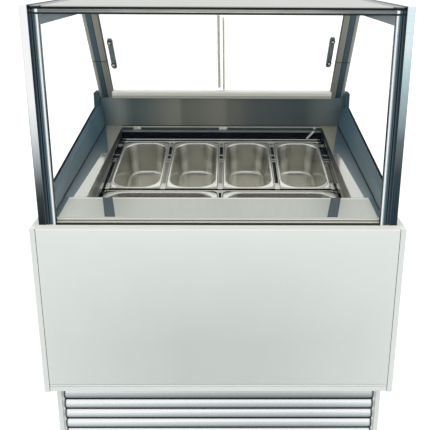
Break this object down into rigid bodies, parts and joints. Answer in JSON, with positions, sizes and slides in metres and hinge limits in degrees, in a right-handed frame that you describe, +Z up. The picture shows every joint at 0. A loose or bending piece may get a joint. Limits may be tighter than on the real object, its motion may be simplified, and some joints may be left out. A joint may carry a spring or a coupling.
{
  "type": "ice cream display freezer",
  "caption": "Free-standing serve-over ice cream display freezer with a glazed canopy, rear sliding doors, tilted pans and a louvred plinth.",
  "frame": {"origin": "on the floor below the middle of the cabinet", "axes": "+X to the right seen from the customer side, +Y towards the operator side, +Z up"},
  "size_m": [1.03, 0.85, 1.387],
  "materials": {
    "white_paint": "satin",
    "aluminium": "brushed",
    "polished_steel": "polished",
    "brushed_steel": "brushed",
    "pan_steel": "satin",
    "glass": "clear",
    "seal_rubber": "matte",
    "foam_body": "matte",
    "black_plastic": "satin",
    "strip_plastic": "satin",
    "dark_paint": "satin",
    "galvanised": "dull",
    "fin_metal": "dull",
    "copper_pipe": "dull"
  },
  "bodies": {
    "cabinet": {"levelling_feet": "galvanised", "base_frame": "galvanised", "left_plinth_panel": "white_paint", "right_plinth_panel": "white_paint", "louvre_slats": "aluminium", "front_panel": "white_paint", "front_trim": "white_paint", "left_end_panel": "white_paint", "right_end_panel": "white_paint", "insulated_tub": "foam_body", "tub_liner": "brushed_steel", "rear_panel": "white_paint", "rear_cover": "galvanised", "cable_gland": "black_plastic", "control_panel": "brushed_steel", "temperature_controller": "black_plastic", "switch_body": "black_plastic", "front_ledge": "polished_steel", "side_decks": "polished_steel", "left_coaming": "polished_steel", "right_coaming": "polished_steel", "back_wall": "brushed_steel", "air_outlet": "brushed_steel", "probe_clip": "polished_steel", "pan_frame": "polished_steel", "left_side_frame": "aluminium", "right_side_frame": "aluminium", "left_side_glass": "glass", "right_side_glass": "glass", "left_glazing_bar": "aluminium", "right_glazing_bar": "aluminium", "front_glass": "glass", "seals": "seal_rubber", "top_front_rail": "aluminium", "top_panel": "brushed_steel", "rear_top_rail": "aluminium", "rear_bottom_track": "aluminium", "left_rear_post": "aluminium", "right_rear_post": "aluminium", "evaporator": "fin_metal", "fan_bulkhead": "brushed_steel", "condenser": "fin_metal", "fan_motors": "black_plastic", "compressor": "dark_paint", "refrigerant_pipes": "copper_pipe"},
    "left_door": {"left_door_glass": "glass", "left_door_strip": "strip_plastic", "left_door_handle": "polished_steel"},
    "right_door": {"right_door_glass": "glass", "right_door_strip": "strip_plastic", "right_door_handle": "polished_steel"},
    "condenser_fan": {"condenser_fan": "black_plastic"},
    "evaporator_fan": {"evaporator_fan": "black_plastic"},
    "power_switch": {"power_switch": "black_plastic"},
    "back_pan_1": {"back_pan_1": "pan_steel"},
    "back_pan_2": {"back_pan_2": "pan_steel"},
    "back_pan_3": {"back_pan_3": "pan_steel"},
    "back_pan_4": {"back_pan_4": "pan_steel"},
    "front_pan_left": {"front_pan_left": "pan_steel"},
    "front_pan_right": {"front_pan_right": "pan_steel"}
  },
  "joints": [
    {"name": "left_door_slide", "type": "slide", "parent": "cabinet", "child": "left_door", "axis": [1, 0, 0], "range_m": [0, 0.365]},
    {"name": "right_door_slide", "type": "slide", "parent": "cabinet", "child": "right_door", "axis": [1, 0, 0], "range_m": [-0.365, 0]},
    {"name": "condenser_fan_spin", "type": "hinge", "parent": "cabinet", "child": "condenser_fan", "pos_m": [0.17, -0.25, 0.192], "axis": [0, 1, 0], "continuous": true},
    {"name": "evaporator_fan_spin", "type": "hinge", "parent": "cabinet", "child": "evaporator_fan", "pos_m": [0, 0.192, 0.646], "axis": [0, 1, 0], "continuous": true},
    {"name": "power_switch_rock", "type": "hinge", "parent": "cabinet", "child": "power_switch", "pos_m": [0.27, 0.4195, 0.487], "axis": [1, 0, 0], "range_deg": [-16, 0]},
    {"name": "back_pan_1_lift", "type": "slide", "parent": "cabinet", "child": "back_pan_1", "axis": [0, -0.0776, 0.997], "range_m": [0, 0.2]},
    {"name": "back_pan_2_lift", "type": "slide", "parent": "cabinet", "child": "back_pan_2", "axis": [0, -0.0776, 0.997], "range_m": [0, 0.2]},
    {"name": "back_pan_3_lift", "type": "slide", "parent": "cabinet", "child": "back_pan_3", "axis": [0, -0.0776, 0.997], "range_m": [0, 0.2]},
    {"name": "back_pan_4_lift", "type": "slide", "parent": "cabinet", "child": "back_pan_4", "axis": [0, -0.0776, 0.997], "range_m": [0, 0.2]},
    {"name": "front_pan_left_lift", "type": "slide", "parent": "cabinet", "child": "front_pan_left", "axis": [0, -0.0776, 0.997], "range_m": [0, 0.2]},
    {"name": "front_pan_right_lift", "type": "slide", "parent": "cabinet", "child": "front_pan_right", "axis": [0, -0.0776, 0.997], "range_m": [0, 0.2]}
  ]
}
